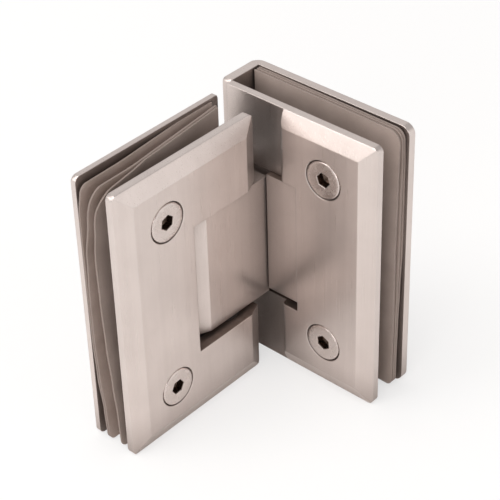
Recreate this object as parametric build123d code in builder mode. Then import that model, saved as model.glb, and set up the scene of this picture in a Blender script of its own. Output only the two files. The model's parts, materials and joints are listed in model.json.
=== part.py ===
from build123d import *
import math
import os

os.makedirs("parts", exist_ok=True)

# ---------------------------------------------------------------- driving sizes, mm
plate_height = 90.0          # every plate is this tall
fixed_length = 57.8          # wall side wing, outside of the corner to its free end
door_reach = 80.0            # outside of the corner to the free end of the door front plate
door_back_reach = 77.6       # the same for the door back plate

glass_gap = 11.0             # clear room between the two plates of a wing
fixed_back_thick = 2.9       # folded back plate of the fixed wing
door_back_thick = 2.4
base_thick = 2.4             # square edge of a front plate
raise_thick = 2.2            # height of the bevelled part above that edge
bevel_width = 5.0            # width of the bevel seen from the front
door_end_bevel = 7.5         # wider bevel at the free end of the door plate
front_corner = 2.0           # corner radius of the front plates
back_corner = 3.0            # corner radius of the back plates

flange_reach = 14.8          # the folded edge of the fixed back plate
fold_radius = 3.0
flange_corner = 1.2
flange_gap = 0.2             # gap between the folded edge and the front plate
strip_length = 24.3          # flat, lower part of the fixed front plate next to the corner
strip_round = 1.6            # rounding where the bevelled part starts

pivot_x = 12.4               # pivot axis from the outside of the corner, along the fixed wing
pivot_y = 33.0               # pivot axis from the outside of the corner, along the door wing
door_front_past = 9.5        # door front plate past the pivot axis, towards the corner
door_back_past = 12.6        # door back plate past the pivot axis

notch_height = 44.0          # opening in the plates for the pivot block
notch_past = 17.7            # from the pivot axis to the closed end of the notch
window_right = 30.4

block_gap = 1.4              # above and below the block in the notch
block_thick = 12.2
block_nose = 15.0            # from the pivot axis to the bevelled free end
block_tail = 15.6            # from the pivot axis to the face that meets the fixed wing
nose_bevel = 5.0
nose_drop = 2.2
neck_inset = 1.2             # shadow gap all round behind the block
seat_rise = 1.1              # height of the base above the inner face of the front plate
pad_front_gap = 0.5          # between the front of the block and the visible pad of the base
pad_side_gap = 0.15
block_side_gap = 1.0         # window past the rear of the block
pad_gap_below = 2.2
pad_gap_above = 0.15
pad_recess = 0.3

pin_radius = 4.0
pin_running_gap = 0.04       # between the pin and its bushes
pin_seat_gap = 0.03          # between the pin and its clamps
pin_flat = 0.7               # depth of the four cam flats
pin_end_flat = 0.5           # depth of the flats under the set screws
pin_flat_height = 6.4        # height of those flats
pin_chamfer = 0.4
pin_room = 0.6               # between the pin and the block, away from the bushes
bush_wall = 1.0
bush_seat_gap = 0.03         # between a bush and the block
bush_length = 8.0
bush_gap = 0.1               # free play between a bush flange and the clamp above it
cam_wall = 1.1               # between a bush and the pocket of the pressure plate
cam_room = 8.2               # width of that pocket
cam_clearance = 0.15         # round the pressure plate in its pocket
pressure_thick = 4.0
pressure_lift = 0.1          # the plate is drawn at the top of its lift, clear of the cam
spring_wire = 1.3            # square wire of the two die springs
spring_mean_radius = 2.5
spring_turns = 3.0
spring_sides = 20            # straight bends in one turn of the coil
spring_end = 0.15            # the end turns lie this far from what they press on

liner_thick = 1.1
liner_corner = 8.5
liner_margin = 1.0           # liners are this much shorter than the plates, above and below
liner_play = 0.05            # above the sleeves that the liners hang on
fixed_liner_hang = 0.3       # how far the liners of the fixed wing have dropped
door_liner_hang = 0.9
liner_cut_gap = 1.5          # round the block, its base and the pin clamps
fixed_liner_margin = 0.9     # short of the free end of the fixed wing
fixed_liner_start = 1.8      # from the fold
door_liner_margin = 1.6      # short of the free end of the door wing
door_liner_past = 8.8        # past the pivot axis, towards the corner
# distance of each liner from its back plate, next to the corner and at the free end
fixed_liner_near = [0.6, 1.8, 3.0]
fixed_liner_far = [0.6, 1.8, 3.0]
door_liner_near = [0.05, 1.2, 2.35]
door_liner_far = [0.05, 3.4, 5.7]
sleeve_outer = 4.5
sleeve_inner = 3.2
sleeve_play = 0.05           # at each end of a sleeve

screw_spacing = 57.8         # the two clamp screws of a wing, centre to centre
fixed_screw_x = 40.4         # from the outside of the corner
door_screw_y = 60.6
screw_radius = 3.0           # M6 clamp screws
screw_gap = 0.05             # round a screw in its thread, which is drawn plain
screw_short = 0.6            # a clamp screw ends this far inside its back plate
head_radius = 5.85
head_clearance = 0.4
head_land = 0.45             # straight edge of a countersunk head
head_sink = 0.05             # heads lie this far under the plate's face
hex_flat = 4.0
hex_depth = 2.3
block_screw_radius = 2.45    # M5 screws that hold the block and its base
block_screw_head = 4.4
block_screw_grip = 8.0       # length inside the block
block_screw_end = 0.5        # room past the end of the screw
block_screw_inset = 5.0      # from the top and bottom of the block
block_hex = 3.0
block_hex_depth = 1.8

clamp_height = 9.0           # pin clamps inside the arms of the door wing
clamp_past = 7.0             # clamp past the pivot axis, towards the corner
clamp_back = 15.0            # clamp past the pivot axis, the other way
clamp_screw_back = 10.5
clamp_screw_radius = 2.0     # M4 screws that hold the pin clamps
clamp_screw_head = 3.4
clamp_screw_grip = 7.0
clamp_screw_end = 0.5
clamp_hex = 2.5
clamp_hex_depth = 1.5
set_radius = 2.45            # M5 set screws
set_sink = 0.4
set_hex = 2.5
set_hex_depth = 2.0
pin_short = 0.6              # the pin ends this far inside the clamps

# ---------------------------------------------------------------- derived positions
corner_x = -fixed_length / 2
corner_y = door_reach / 2
middle = plate_height / 2
front_thick = base_thick + raise_thick

axis_x = corner_x + pivot_x
axis_y = corner_y - pivot_y

fixed_rear_in = corner_y - fixed_back_thick
fixed_in = fixed_rear_in - glass_gap
strip_face = fixed_in - base_thick
fixed_face = fixed_in - front_thick
fixed_end = corner_x + fixed_length

door_depth = door_back_thick + glass_gap + front_thick
door_rear = axis_x - door_depth / 2
door_rear_in = door_rear + door_back_thick
door_in = door_rear_in + glass_gap
door_base = door_in + base_thick
door_face = door_in + front_thick
door_end = corner_y - door_reach
door_back_end = corner_y - door_back_reach

notch_low = middle - notch_height / 2
notch_high = middle + notch_height / 2
notch_end = axis_y - notch_past

block_height = notch_height - 2 * block_gap
block_low = middle - block_height / 2
block_high = middle + block_height / 2
block_front = axis_x + block_thick / 2
block_rear = axis_x - block_thick / 2
tail_face = axis_y + block_tail
nose_face = axis_y - block_nose
seat_face = fixed_in - seat_rise
window_left = block_rear - block_side_gap
cam_height = block_height - 2 * (bush_length + cam_wall)
spring_spacing = cam_height / 2
block_screw_levels = [block_high - block_screw_inset, block_low + block_screw_inset]

screw_levels = [middle + screw_spacing / 2, middle - screw_spacing / 2]
screw_names = ["upper", "lower"]
screw_x = corner_x + fixed_screw_x
screw_y = corner_y - door_screw_y


def block_of(x0, x1, y0, y1, z0, z1, mode=Mode.ADD):
    """A square block between two corners."""
    with BuildSketch(Plane.XY.offset(z0)) as flat:
        with Locations(((x0 + x1) / 2, (y0 + y1) / 2)):
            Rectangle(x1 - x0, y1 - y0)
    extrude(flat.sketch, amount=z1 - z0, mode=mode)


def prism_up(points, z0, z1, mode=Mode.ADD):
    """A straight upright body on a closed outline."""
    with BuildSketch(Plane.XY.offset(z0)) as flat:
        with BuildLine():
            Polyline(*points, close=True)
        make_face()
    extrude(flat.sketch, amount=z1 - z0, mode=mode)


def rod_x(y, z, x0, x1, radius, mode=Mode.ADD):
    """A round bar or hole lying along X."""
    with BuildSketch(Plane.YZ.offset(x0)) as flat:
        with Locations((y, z)):
            Circle(radius)
    extrude(flat.sketch, amount=x1 - x0, mode=mode)


def rod_y(x, z, y0, y1, radius, mode=Mode.ADD):
    """A round bar or hole lying along Y, drawn from y1 back to y0."""
    with BuildSketch(Plane.XZ.offset(-y1)) as flat:
        with Locations((x, z)):
            Circle(radius)
    extrude(flat.sketch, amount=y1 - y0, mode=mode)


def rod_z(x, y, z0, z1, radius, mode=Mode.ADD):
    """A round bar or hole standing along Z."""
    with BuildSketch(Plane.XY.offset(z0)) as flat:
        with Locations((x, y)):
            Circle(radius)
    extrude(flat.sketch, amount=z1 - z0, mode=mode)


def turned(plane, points, mode=Mode.ADD):
    """A body of revolution: points are radius and distance along the plane's Y."""
    with BuildSketch(plane) as flat:
        with BuildLine():
            Polyline(*points, close=True)
        make_face()
    revolve(flat.sketch, axis=Axis(plane.origin, plane.y_dir), mode=mode)


def bevel_cut(plane, base, face, edge, way, width, length):
    """Mill a bevel from base up to face; way points from the edge into the plate."""
    out = math.copysign(1, face - base)
    with BuildSketch(plane) as wedge:
        with BuildLine():
            Polyline(
                (base, edge),
                (face, edge + way * width),
                (face + out, edge + way * width),
                (face + out, edge - way),
                (base, edge - way),
                close=True,
            )
        make_face()
    extrude(wedge.sketch, amount=length, mode=Mode.SUBTRACT)


def inward(plane_origin, direction):
    """Plane whose Y runs along a screw, from the outside face inwards."""
    side = Vector(0, 0, 1)
    normal = side.cross(Vector(*direction))
    return Plane(origin=plane_origin, x_dir=side, z_dir=normal)


def sink(origin, direction, head, shank, depth, land=0.0):
    """Countersunk hole through a plate; land is the depth of its straight mouth."""
    mouth = head + head_clearance
    points = [(0, -1), (mouth, -1), (mouth, land)]
    points += [(shank, land + mouth - shank), (shank, depth), (0, depth)]
    turned(inward(origin, direction), points, mode=Mode.SUBTRACT)


def sunk_screw(origin, direction, head, shank, length, key, key_depth, land=0.0):
    """Countersunk screw with a hexagon socket, its head just under the plate's face."""
    points = [(0, head_sink), (head, head_sink)]
    if land:
        points.append((head, land))
    start = max(land, head_sink)
    points += [(shank, start + head - shank), (shank, length), (0, length)]
    plane = inward(origin, direction)
    turned(plane, points)
    face = Plane(origin=origin, x_dir=plane.x_dir, z_dir=Vector(*direction))
    with BuildSketch(face) as socket:
        RegularPolygon(radius=key / 2, side_count=6, major_radius=False)
    extrude(socket.sketch, amount=key_depth, mode=Mode.SUBTRACT)


# ---------------------------------------------------------------- fixed wing plates
# The back plate is one folded sheet: a flat side and a short flange that closes the
# corner. It carries the threads of the clamp screws and the heads of the block screws.
with BuildPart() as fixed_back_plate:
    with BuildSketch(Plane.XY):
        with BuildLine():
            Polyline(
                (corner_x, corner_y),
                (fixed_end, corner_y),
                (fixed_end, fixed_rear_in),
                (corner_x + fixed_back_thick, fixed_rear_in),
                (corner_x + fixed_back_thick, corner_y - flange_reach),
                (corner_x, corner_y - flange_reach),
                close=True,
            )
        make_face()
    extrude(amount=plate_height)
    uprights = fixed_back_plate.edges().filter_by(Axis.Z)
    fold = uprights.sort_by_distance((corner_x, corner_y, middle))[0]
    fillet(fold, radius=fold_radius)
    ends = fixed_back_plate.edges().filter_by(Axis.Y)
    far = ends.filter_by_position(Axis.X, fixed_end - 0.01, fixed_end + 0.01)
    fillet(far, radius=back_corner)
    tips = fixed_back_plate.edges().filter_by(Axis.X)
    low = corner_y - flange_reach
    fillet(tips.filter_by_position(Axis.Y, low - 0.01, low + 0.01), radius=flange_corner)
    for level in screw_levels:
        rod_y(screw_x, level, fixed_rear_in - 1, corner_y + 1, screw_radius + screw_gap, Mode.SUBTRACT)
    for level in block_screw_levels:
        hole = block_screw_radius + 3 * screw_gap
        sink((axis_x, corner_y, level), (0, -1, 0), block_screw_head, hole, fixed_back_thick + 1)
fixed_back_plate.part.label = "fixed_back_plate"

# The front plate is a flat strip beside the corner and a raised part whose three outer
# sides are milled to a bevel. A window lets the pivot block and its pad through.
with BuildPart() as fixed_front_plate:
    left = corner_x + fixed_back_thick + flange_gap
    block_of(left, fixed_end, strip_face, fixed_in, 0, plate_height)
    step = corner_x + strip_length
    block_of(step, fixed_end, fixed_face, strip_face, 0, plate_height)
    raised = fixed_front_plate.edges().filter_by(Axis.Z)
    raised = raised.filter_by_position(Axis.X, step - 0.01, step + 0.01)
    raised = raised.filter_by_position(Axis.Y, fixed_face - 0.01, fixed_face + 0.01)
    fillet(raised, radius=strip_round)
    outline = fixed_front_plate.edges().filter_by(Axis.Y)
    outline = outline.filter_by_position(Axis.X, fixed_end - 0.01, fixed_end + 0.01)
    fillet(outline, radius=front_corner)
    # bevels at the free end, the top and the bottom
    down = Plane(origin=(0, 0, plate_height + 1), x_dir=(0, 1, 0), z_dir=(0, 0, -1))
    bevel_cut(down, strip_face, fixed_face, fixed_end, -1, bevel_width, plate_height + 2)
    along = Plane.YZ.offset(step - 1)
    for edge, way in [(plate_height, -1), (0, 1)]:
        bevel_cut(along, strip_face, fixed_face, edge, way, bevel_width, fixed_end - step + 3)
    block_of(
        window_left,
        corner_x + window_right,
        fixed_face - 1,
        fixed_in + 1,
        notch_low,
        notch_high,
        Mode.SUBTRACT,
    )
    for level in screw_levels:
        hole = screw_radius + 6 * screw_gap
        origin = (screw_x, fixed_face, level)
        sink(origin, (0, 1, 0), head_radius, hole, front_thick + 1, head_land)
fixed_front_plate.part.label = "fixed_front_plate"

# ---------------------------------------------------------------- door wing plates
with BuildPart() as door_front_plate:
    near = axis_y + door_front_past
    block_of(door_in, door_face, door_end, near, 0, plate_height)
    outline = door_front_plate.edges().filter_by(Axis.X)
    fillet(outline, radius=front_corner)
    up = Plane.XY.offset(-1)
    for edge, way, width in [(door_end, 1, door_end_bevel), (near, -1, bevel_width)]:
        bevel_cut(up, door_base, door_face, edge, way, width, plate_height + 2)
    along = Plane.XZ.offset(-near - 1)
    for edge, way in [(plate_height, -1), (0, 1)]:
        bevel_cut(along, door_base, door_face, edge, way, bevel_width, near - door_end + 3)
    block_of(door_in - 1, door_face + 1, notch_end, near + 1, notch_low, notch_high, Mode.SUBTRACT)
    for level in screw_levels:
        hole = screw_radius + 6 * screw_gap
        origin = (door_face, screw_y, level)
        sink(origin, (-1, 0, 0), head_radius, hole, front_thick + 1, head_land)
door_front_plate.part.label = "door_front_plate"

clamp_middle = clamp_height / 2
clamp_levels = [notch_high + clamp_middle, notch_low - clamp_middle]
pin_length = notch_height + 2 * (clamp_height - pin_short)
clamp_screw_y = axis_y - clamp_screw_back

with BuildPart() as door_back_plate:
    near = axis_y + door_back_past
    block_of(door_rear, door_rear_in, door_back_end, near, 0, plate_height)
    fillet(door_back_plate.edges().filter_by(Axis.X), radius=back_corner)
    block_of(door_rear - 1, door_rear_in + 1, notch_end, near + 1, notch_low, notch_high, Mode.SUBTRACT)
    for level in screw_levels:
        rod_x(screw_y, level, door_rear - 1, door_rear_in + 1, screw_radius + screw_gap, Mode.SUBTRACT)
    for level in clamp_levels:
        rod_x(axis_y, level, door_rear - 1, door_rear_in + 1, set_radius + screw_gap, Mode.SUBTRACT)
        hole = clamp_screw_radius + 2 * screw_gap
        sink((door_rear, clamp_screw_y, level), (1, 0, 0), clamp_screw_head, hole, door_back_thick + 1)
door_back_plate.part.label = "door_back_plate"

# ---------------------------------------------------------------- pivot block and its base
# The block stands in the notch of the door wing. Both of its broad faces are bevelled at
# the free end so that it turns clear of the closed end of the notch.
with BuildPart() as pivot_block:
    prism_up(
        [
            (block_rear, tail_face),
            (block_front, tail_face),
            (block_front, nose_face + nose_bevel),
            (block_front - nose_drop, nose_face),
            (block_rear + nose_drop, nose_face),
            (block_rear, nose_face + nose_bevel),
        ],
        block_low,
        block_high,
    )
    rod_z(axis_x, axis_y, block_low - 1, block_high + 1, pin_radius + pin_room, Mode.SUBTRACT)
    bush_hole = pin_radius + pin_running_gap + bush_wall + bush_seat_gap
    rod_z(axis_x, axis_y, block_high - bush_length, block_high + 1, bush_hole, Mode.SUBTRACT)
    rod_z(axis_x, axis_y, block_low - 1, block_low + bush_length, bush_hole, Mode.SUBTRACT)
    block_of(
        axis_x - cam_room / 2,
        axis_x + cam_room / 2,
        axis_y,
        tail_face + 1,
        middle - cam_height / 2,
        middle + cam_height / 2,
        Mode.SUBTRACT,
    )
    for level in block_screw_levels:
        deep = tail_face - block_screw_grip - block_screw_end
        rod_y(axis_x, level, deep, tail_face + 1, block_screw_radius + screw_gap, Mode.SUBTRACT)
pivot_block.part.label = "pivot_block"

# The base bridges the glass space behind the block. Its neck carries the block, its pad
# fills the rest of the window in the fixed front plate.
with BuildPart() as pivot_base:
    low = block_low + neck_inset
    high = block_high - neck_inset
    block_of(
        window_left + pad_side_gap,
        corner_x + window_right - pad_side_gap,
        seat_face,
        fixed_rear_in,
        low,
        high,
    )
    block_of(block_rear + neck_inset, block_front - neck_inset, tail_face, seat_face, low, high)
    block_of(
        block_front + pad_front_gap,
        corner_x + window_right - pad_side_gap,
        fixed_face + pad_recess,
        fixed_in,
        notch_low + pad_gap_below,
        notch_high - pad_gap_above,
    )
    for level in block_screw_levels:
        rod_y(axis_x, level, tail_face - 1, corner_y, block_screw_radius + 3 * screw_gap, Mode.SUBTRACT)
pivot_base.part.label = "pivot_base"

# ---------------------------------------------------------------- cam pin and its parts
# The pin belongs to the door. Four flats in its middle are the cam: the pressure plate
# drops onto a flat when the door is closed or a quarter turn open.
with BuildPart() as pivot_pin:
    rod_z(axis_x, axis_y, middle - pin_length / 2, middle + pin_length / 2, pin_radius)
    chamfer(pivot_pin.edges(), length=pin_chamfer)
    cam = 2 * (pin_radius - pin_flat)
    with BuildSketch(Plane.XY.offset(middle - cam_height / 2)):
        with Locations((axis_x, axis_y)):
            Circle(2 * pin_radius)
            Rectangle(cam, cam, mode=Mode.SUBTRACT)
    extrude(amount=cam_height, mode=Mode.SUBTRACT)
    for level in clamp_levels:
        low = level - pin_flat_height / 2
        edge = axis_x - pin_radius + pin_end_flat
        block_of(
            edge - pin_radius,
            edge,
            axis_y - pin_radius,
            axis_y + pin_radius,
            low,
            low + pin_flat_height,
            Mode.SUBTRACT,
        )
pivot_pin.part.label = "pivot_pin"

with BuildPart() as pressure_plate:
    touch = axis_y + pin_radius + pressure_lift
    block_of(
        axis_x - cam_room / 2 + cam_clearance,
        axis_x + cam_room / 2 - cam_clearance,
        touch,
        touch + pressure_thick,
        middle - cam_height / 2 + cam_clearance,
        middle + cam_height / 2 - cam_clearance,
    )
pressure_plate.part.label = "pressure_plate"

springs = []
spring_start = axis_y + pin_radius + pressure_lift + pressure_thick + spring_wire / 2 + spring_end
spring_stop = tail_face - spring_wire / 2 - spring_end
rise = spring_stop - spring_start
steps = int(spring_turns * spring_sides)
for name, level in zip(screw_names, [middle + spring_spacing / 2, middle - spring_spacing / 2]):
    path = []
    for step in range(steps + 1):
        turn = 2 * math.pi * step / spring_sides
        along = spring_start + rise * step / steps
        x = axis_x + spring_mean_radius * math.cos(turn)
        z = level + spring_mean_radius * math.sin(turn)
        path.append((x, along, z))
    with BuildPart() as spring:
        with BuildLine() as coil:
            Polyline(*path)
        with BuildSketch(Plane(origin=coil.line @ 0, x_dir=(0, 1, 0), z_dir=coil.line % 0)):
            Rectangle(spring_wire, spring_wire)
        sweep(transition=Transition.RIGHT)
    spring.part.label = "spring_" + name
    springs.append(spring)

bushes = []
flange = block_gap - bush_gap
wide = block_thick / 2 - bush_gap
inner = pin_radius + pin_running_gap
outer = inner + bush_wall
for name, level, way in zip(screw_names, [block_high, block_low], [1, -1]):
    with BuildPart() as bush:
        turned(
            Plane(origin=(axis_x, axis_y, level), x_dir=(1, 0, 0), z_dir=(0, -way, 0)),
            [
                (inner, flange),
                (wide, flange),
                (wide, 0),
                (outer, 0),
                (outer, -bush_length),
                (inner, -bush_length),
            ],
        )
    bush.part.label = "bush_" + name
    bushes.append(bush)

# ---------------------------------------------------------------- screws of the pivot
block_screws = []
for name, level in zip(screw_names, block_screw_levels):
    with BuildPart() as screw:
        sunk_screw(
            (axis_x, corner_y, level),
            (0, -1, 0),
            block_screw_head,
            block_screw_radius,
            corner_y - tail_face + block_screw_grip,
            block_hex,
            block_hex_depth,
        )
    screw.part.label = "block_screw_" + name
    block_screws.append(screw)

clamps = []
set_screws = []
clamp_screws = []
for name, level in zip(screw_names, clamp_levels):
    with BuildPart() as clamp:
        block_of(
            door_rear_in,
            door_in,
            axis_y - clamp_back,
            axis_y + clamp_past,
            level - clamp_middle,
            level + clamp_middle,
        )
        hole = pin_radius + pin_seat_gap
        rod_z(axis_x, axis_y, level - clamp_height, level + clamp_height, hole, Mode.SUBTRACT)
        rod_x(axis_y, level, door_rear_in - 1, axis_x, set_radius + screw_gap, Mode.SUBTRACT)
        deep = door_rear_in + clamp_screw_grip + clamp_screw_end
        rod_x(clamp_screw_y, level, door_rear_in - 1, deep, clamp_screw_radius + screw_gap, Mode.SUBTRACT)
    clamp.part.label = "pin_clamp_" + name
    clamps.append(clamp)
    with BuildPart() as setter:
        start = door_rear + set_sink
        stop = axis_x - pin_radius + pin_end_flat
        rod_x(axis_y, level, start, stop, set_radius)
        with BuildSketch(Plane.YZ.offset(start)):
            with Locations((axis_y, level)):
                RegularPolygon(radius=set_hex / 2, side_count=6, major_radius=False)
        extrude(amount=set_hex_depth, mode=Mode.SUBTRACT)
    setter.part.label = "set_screw_" + name
    set_screws.append(setter)
    with BuildPart() as fixing:
        sunk_screw(
            (door_rear, clamp_screw_y, level),
            (1, 0, 0),
            clamp_screw_head,
            clamp_screw_radius,
            door_back_thick + clamp_screw_grip,
            clamp_hex,
            clamp_hex_depth,
        )
    fixing.part.label = "clamp_screw_" + name
    clamp_screws.append(fixing)

# ---------------------------------------------------------------- liners
# Soft sheets that lie between the glass and the plates. They hang loose on the sleeves
# of the clamp screws until the glass is in.
liner_names = ["rear", "middle", "front"]

fixed_liners = []
for name, near, far in zip(liner_names, fixed_liner_near, fixed_liner_far):
    x0 = corner_x + fixed_back_thick + fixed_liner_start
    x1 = fixed_end - fixed_liner_margin
    y0 = fixed_rear_in - near
    y1 = fixed_rear_in - far
    outline = [(x0, y0), (x1, y1), (x1, y1 - liner_thick), (x0, y0 - liner_thick)]
    with BuildPart() as liner:
        low = liner_margin - fixed_liner_hang
        prism_up(outline, low, low + plate_height - 2 * liner_margin)
        ends = liner.edges().filter_by(Axis.Y)
        fillet(ends.filter_by_position(Axis.X, x1 - 0.01, x1 + 0.01), radius=liner_corner)
        block_of(
            x0 - 1,
            corner_x + window_right + liner_cut_gap,
            fixed_in,
            fixed_rear_in + 1,
            notch_low - liner_cut_gap,
            notch_high + liner_cut_gap,
            Mode.SUBTRACT,
        )
        hole = sleeve_outer + fixed_liner_hang + liner_play
        for level in screw_levels:
            rod_y(screw_x, level - fixed_liner_hang, fixed_in, fixed_rear_in, hole, Mode.SUBTRACT)
    liner.part.label = "fixed_liner_" + name
    fixed_liners.append(liner)

door_liners = []
for name, near, far in zip(liner_names, door_liner_near, door_liner_far):
    y0 = door_end + door_liner_margin
    y1 = axis_y + door_liner_past
    x0 = door_rear_in + far
    x1 = door_rear_in + near
    outline = [(x0, y0), (x0 + liner_thick, y0), (x1 + liner_thick, y1), (x1, y1)]
    with BuildPart() as liner:
        low = liner_margin - door_liner_hang
        prism_up(outline, low, low + plate_height - 2 * liner_margin)
        ends = liner.edges().filter_by(Axis.X)
        fillet(ends.filter_by_position(Axis.Y, y0 - 0.01, y0 + 0.01), radius=liner_corner)
        block_of(
            door_rear_in - 1,
            door_in,
            axis_y - clamp_back - 2 * liner_cut_gap,
            y1 + 1,
            notch_low - clamp_height - liner_cut_gap,
            notch_high + clamp_height + liner_cut_gap,
            Mode.SUBTRACT,
        )
        hole = sleeve_outer + door_liner_hang + liner_play
        for level in screw_levels:
            rod_x(screw_y, level - door_liner_hang, door_rear_in, door_in, hole, Mode.SUBTRACT)
    liner.part.label = "door_liner_" + name
    door_liners.append(liner)

# ---------------------------------------------------------------- clamp screws and sleeves
wing_screws = []
sleeves = []
for name, level in zip(screw_names, screw_levels):
    with BuildPart() as screw:
        length = front_thick + glass_gap + fixed_back_thick - screw_short
        sunk_screw(
            (screw_x, fixed_face, level),
            (0, 1, 0),
            head_radius,
            screw_radius,
            length,
            hex_flat,
            hex_depth,
            head_land,
        )
    screw.part.label = "fixed_screw_" + name
    wing_screws.append(screw)
    with BuildPart() as sleeve:
        rod_y(screw_x, level, fixed_in + sleeve_play, fixed_rear_in - sleeve_play, sleeve_outer)
        rod_y(screw_x, level, fixed_in - 1, fixed_rear_in + 1, sleeve_inner, Mode.SUBTRACT)
    sleeve.part.label = "fixed_sleeve_" + name
    sleeves.append(sleeve)

for name, level in zip(screw_names, screw_levels):
    with BuildPart() as screw:
        length = front_thick + glass_gap + door_back_thick - screw_short
        sunk_screw(
            (door_face, screw_y, level),
            (-1, 0, 0),
            head_radius,
            screw_radius,
            length,
            hex_flat,
            hex_depth,
            head_land,
        )
    screw.part.label = "door_screw_" + name
    wing_screws.append(screw)
    with BuildPart() as sleeve:
        rod_x(screw_y, level, door_rear_in + sleeve_play, door_in - sleeve_play, sleeve_outer)
        rod_x(screw_y, level, door_rear_in - 1, door_in + 1, sleeve_inner, Mode.SUBTRACT)
    sleeve.part.label = "door_sleeve_" + name
    sleeves.append(sleeve)

# ---------------------------------------------------------------- export
pieces = [fixed_back_plate, fixed_front_plate, door_front_plate, door_back_plate]
pieces += [pivot_block, pivot_base, pivot_pin, pressure_plate]
pieces += springs + bushes + block_screws + clamps + set_screws + clamp_screws
pieces += fixed_liners + door_liners + wing_screws + sleeves
for piece in pieces:
    export_step(piece.part, "parts/" + piece.part.label + ".step")
print(len(pieces), "pieces")
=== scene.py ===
import json
import math
import bmesh
import bpy
from mathutils import Matrix, Vector


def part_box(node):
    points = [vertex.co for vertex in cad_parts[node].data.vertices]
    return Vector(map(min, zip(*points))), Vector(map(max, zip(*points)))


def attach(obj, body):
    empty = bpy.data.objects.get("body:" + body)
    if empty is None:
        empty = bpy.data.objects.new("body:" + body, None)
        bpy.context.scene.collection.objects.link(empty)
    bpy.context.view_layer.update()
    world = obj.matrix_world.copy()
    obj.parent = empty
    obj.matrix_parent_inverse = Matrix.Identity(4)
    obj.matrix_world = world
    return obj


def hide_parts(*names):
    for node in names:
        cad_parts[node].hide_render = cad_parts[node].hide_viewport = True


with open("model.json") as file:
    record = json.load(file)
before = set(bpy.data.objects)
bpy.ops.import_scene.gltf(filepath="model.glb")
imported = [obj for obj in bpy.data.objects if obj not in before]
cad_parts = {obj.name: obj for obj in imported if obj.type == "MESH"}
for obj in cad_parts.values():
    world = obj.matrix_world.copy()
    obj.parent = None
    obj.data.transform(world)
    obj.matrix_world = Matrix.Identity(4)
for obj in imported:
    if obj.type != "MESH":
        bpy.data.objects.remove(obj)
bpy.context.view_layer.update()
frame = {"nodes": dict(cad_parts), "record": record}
mm = 0.001
scene = bpy.context.scene
print("frame loaded:", len(frame["nodes"]), "parts")


# Materials. A look holds what a user would change; lengths in it are in mm, noise scales per metre.

colourA, colourB, mixedColour = 6, 7, 2     # a Mix node's colour sockets share their names with others


def linearColour(hexText):
    parts = [int(hexText[i:i + 2], 16) / 255 for i in (1, 3, 5)]
    lin = [c / 12.92 if c <= 0.04045 else ((c + 0.055) / 1.055) ** 2.4 for c in parts]
    return (*lin, 1.0)


def addNode(tree, kind, settings=None, links=None):
    # settings: properties and socket values, links: socket -> output it takes
    node = tree.nodes.new(kind)
    for key, value in (settings or {}).items():
        if isinstance(key, str) and hasattr(node, key):
            setattr(node, key, value)
        else:
            node.inputs[key].default_value = value
    for key, source in (links or {}).items():
        tree.links.new(source, node.inputs[key])
    return node


def newMaterial(name):
    # an empty material, and the place on the piece that its patterns follow
    mat = bpy.data.materials.new(name)
    mat.use_nodes = True
    mat.node_tree.nodes.clear()
    coord = addNode(mat.node_tree, "ShaderNodeTexCoord")
    return mat, mat.node_tree, coord.outputs["Object"]


nickelLook = {
    "tone": "#DCD1CC",          # warm nickel plate
    "darkTone": "#D0C5C0",      # where the plate is a little duller
    "toneRange": (0.45, 1.05),  # noise at which it is dullest and brightest
    "cloudScale": 55.0,         # one cloud in about 18 mm
    "bandShare": 0.5,           # how much the upright bands count beside the clouds
    "bandScale": 0.12,          # a band is as wide as eight brushed lines
    "grain": 0.25,              # width of a brushed line, coarser than the real 0.05 so that it shows
    "grainLength": 26,          # how far a line runs
    "grainRange": (0.25, 0.75),
    "scratchDepth": 0.02,
    "scratchStrength": 0.35,
    "roughness": 0.30,
    "roughSpread": (-0.05, 0.07),
    "anisotropy": 0.35,
    "edge": 0.35,               # width of the rounded edge that carries the painted highlight
    "highlightTone": "#F0E7E0",
    "highlightShare": 0.2,           # how far the painted highlight covers the sharpest edge
    "edgeRange": (0.985, 0.8),  # cosine between the rounded and the flat normal
    "paintedShade": 0.70,               # how far the painted shade covers the most sheltered places
    "paintedShadeReach": 20,
    "paintedShadeTone": "#452E20",
    "paintedShadeDulls": 0.35,          # roughness that full painted shade adds
    "paintedShadeRange": (0.86, 0.25),  # openness at which the painted shade starts and is full
    "paintedShadeFaces": (-0.5, -0.1),  # upward part of the normal: none below the first, all above the second
    "paintedShadeMetal": 0.95,          # how metallic it stays under full painted shade
}
# the notch's milled faces: a rougher finish, and their darker tone is painted shade
milledShadedLook = dict(nickelLook, tone="#95867D", darkTone="#7F716A", roughness=0.5, paintedShade=0.4, paintedShadeReach=6)


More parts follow.
